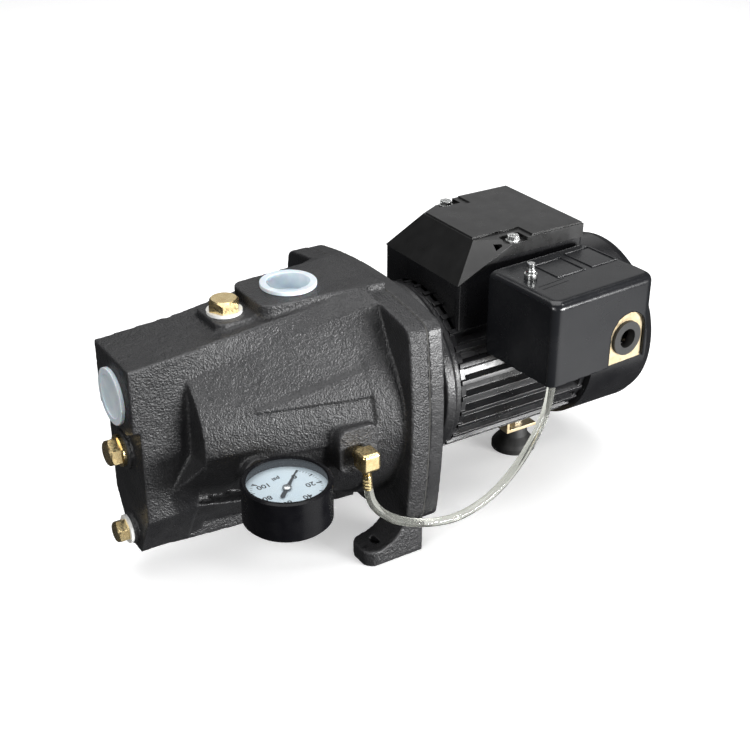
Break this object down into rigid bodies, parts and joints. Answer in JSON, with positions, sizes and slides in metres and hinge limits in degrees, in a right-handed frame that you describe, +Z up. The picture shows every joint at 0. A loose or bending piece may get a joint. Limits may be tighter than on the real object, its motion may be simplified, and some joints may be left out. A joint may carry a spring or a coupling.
{
  "type": "shallow well jet pump",
  "caption": "Cast-iron shallow well jet pump with finned electric motor, pressure switch, gauge and clear sensing tube, standing on two bolt-down feet and a rubber motor foot.",
  "frame": {"origin": "midway between the bolt holes of the two casing feet, on the plane the feet stand on", "axes": "+X along the shaft from the suction port to the motor fan, +Z up, so that the gauge and switch side faces -Y"},
  "size_m": [0.4212, 0.2168, 0.2052],
  "materials": {
    "casing_iron": "rough painted casting, satin black",
    "bracket_iron": "painted casting, satin black",
    "motor_paint": "semi-gloss black paint",
    "cover_paint": "semi-gloss black paint",
    "box_plastic": "fine-textured black moulding",
    "lid_plastic": "fine-textured black moulding",
    "switch_plastic": "glossy black moulding",
    "brass": "machined brass",
    "zinc_steel": "bright zinc plate",
    "yellow_zinc": "yellow chromated zinc plate",
    "black_steel": "blackened steel",
    "port_plug_plastic": "translucent white polyethylene",
    "washer_nylon": "white nylon",
    "clear_tube": "clear vinyl tube",
    "gauge_steel": "gloss black enamel",
    "gauge_face": "white printed dial",
    "gauge_glass": "clear window",
    "pointer_black": "matt black",
    "steel": "ground steel",
    "bourdon_bronze": "drawn bronze",
    "laminations": "stacked laminations",
    "copper_windings": "varnished copper wire",
    "hydraulic_plastic": "glass-filled black moulding",
    "fan_plastic": "black moulding",
    "contact_phenolic": "dark phenolic",
    "capacitor_can": "drawn can",
    "seal_ceramic": "ceramic ring",
    "rubber": "moulded black rubber",
    "gasket_paper": "dark fibre sheet"
  },
  "bodies": {
    "pump": {"pump_casing": "casing_iron", "motor_bracket": "bracket_iron", "motor_housing": "motor_paint", "rear_end_bell": "motor_paint", "fan_cover": "cover_paint", "junction_box_base": "box_plastic", "junction_box_cover": "lid_plastic", "ejector_nozzle": "brass", "gauge_stem": "brass", "pressure_elbow": "brass", "switch_barb": "brass", "cover_screws": "zinc_steel", "range_stud": "zinc_steel", "conduit_nipple": "zinc_steel", "foot_screw": "zinc_steel", "switch_frame": "yellow_zinc", "foot_bracket": "yellow_zinc", "diaphragm_housing": "yellow_zinc", "flange_bolts": "black_steel", "fan_cover_screws": "black_steel", "pressure_tube": "clear_tube", "gauge_case": "gauge_steel", "gauge_ring": "gauge_steel", "gauge_dial": "gauge_face", "gauge_lens": "gauge_glass", "front_bearing_outer": "steel", "rear_bearing_outer": "steel", "range_spring": "steel", "bourdon_tube": "bourdon_bronze", "stator_core": "laminations", "stator_windings": "copper_windings", "diffuser": "hydraulic_plastic", "venturi_tube": "hydraulic_plastic", "contact_block": "contact_phenolic", "run_capacitor": "capacitor_can", "seal_seat": "seal_ceramic", "cable_grommet": "rubber", "rubber_foot": "rubber", "casing_gasket": "gasket_paper"},
    "rotor": {"shaft": "steel", "impeller": "hydraulic_plastic", "impeller_nut": "brass", "seal_head": "rubber", "front_bearing_inner": "steel", "rear_bearing_inner": "steel", "rotor_core": "laminations", "cooling_fan": "fan_plastic"},
    "front_cage": {"front_bearing_balls": "steel"},
    "rear_cage": {"rear_bearing_balls": "steel"},
    "suction_plug": {"suction_plug": "port_plug_plastic"},
    "discharge_plug": {"discharge_plug": "port_plug_plastic"},
    "priming_plug": {"priming_plug": "brass", "priming_washer": "washer_nylon"},
    "centre_plug": {"centre_plug": "brass"},
    "drain_plug": {"drain_plug": "brass", "drain_washer": "washer_nylon"},
    "gauge_pointer": {"gauge_pointer": "pointer_black"},
    "switch_cover": {"switch_cover": "switch_plastic"},
    "cover_nut": {"cover_nut": "zinc_steel"},
    "contact_lever": {"contact_lever": "yellow_zinc"}
  },
  "joints": [
    {"name": "rotor_spin", "type": "hinge", "parent": "pump", "child": "rotor", "pos_m": [0, 0, 0.1], "axis": [1, 0, 0], "continuous": true},
    {"name": "front_cage_spin", "type": "hinge", "parent": "pump", "child": "front_cage", "pos_m": [0.0635, 0, 0.1], "axis": [1, 0, 0], "continuous": true},
    {"name": "rear_cage_spin", "type": "hinge", "parent": "pump", "child": "rear_cage", "pos_m": [0.1895, 0, 0.1], "axis": [1, 0, 0], "continuous": true},
    {"name": "suction_plug_pull", "type": "slide", "parent": "pump", "child": "suction_plug", "axis": [-1, 0, 0], "range_m": [0, 0.03]},
    {"name": "discharge_plug_pull", "type": "slide", "parent": "pump", "child": "discharge_plug", "axis": [0, 0, 1], "range_m": [0, 0.03]},
    {"name": "priming_plug_unscrew", "type": "slide", "parent": "pump", "child": "priming_plug", "axis": [0, 0, 1], "range_m": [0, 0.035]},
    {"name": "centre_plug_unscrew", "type": "slide", "parent": "pump", "child": "centre_plug", "axis": [-1, 0, 0], "range_m": [0, 0.03]},
    {"name": "drain_plug_unscrew", "type": "slide", "parent": "pump", "child": "drain_plug", "axis": [-1, 0, 0], "range_m": [0, 0.03]},
    {"name": "pointer_swing", "type": "hinge", "parent": "pump", "child": "gauge_pointer", "pos_m": [-0.0865, -0.1, 0.1011], "axis": [0, 0, -1], "range_deg": [0, 270], "stiffness_Nm_per_rad": 0.0001},
    {"name": "switch_cover_lift", "type": "slide", "parent": "pump", "child": "switch_cover", "axis": [0, 0, 1], "range_m": [0, 0.07]},
    {"name": "cover_nut_unscrew", "type": "slide", "parent": "switch_cover", "child": "cover_nut", "axis": [0, 0, 1], "range_m": [0, 0.012]},
    {"name": "contact_lever_lift", "type": "hinge", "parent": "pump", "child": "contact_lever", "pos_m": [0.12329, -0.09134, 0.1361], "axis": [0.061, -0.9981, 0], "range_deg": [0, 3], "stiffness_Nm_per_rad": 0.05}
  ],
  "couplings": [
    {"joint": "front_cage_spin", "follows": "rotor_spin", "ratio": 0.412},
    {"joint": "rear_cage_spin", "follows": "rotor_spin", "ratio": 0.412}
  ]
}
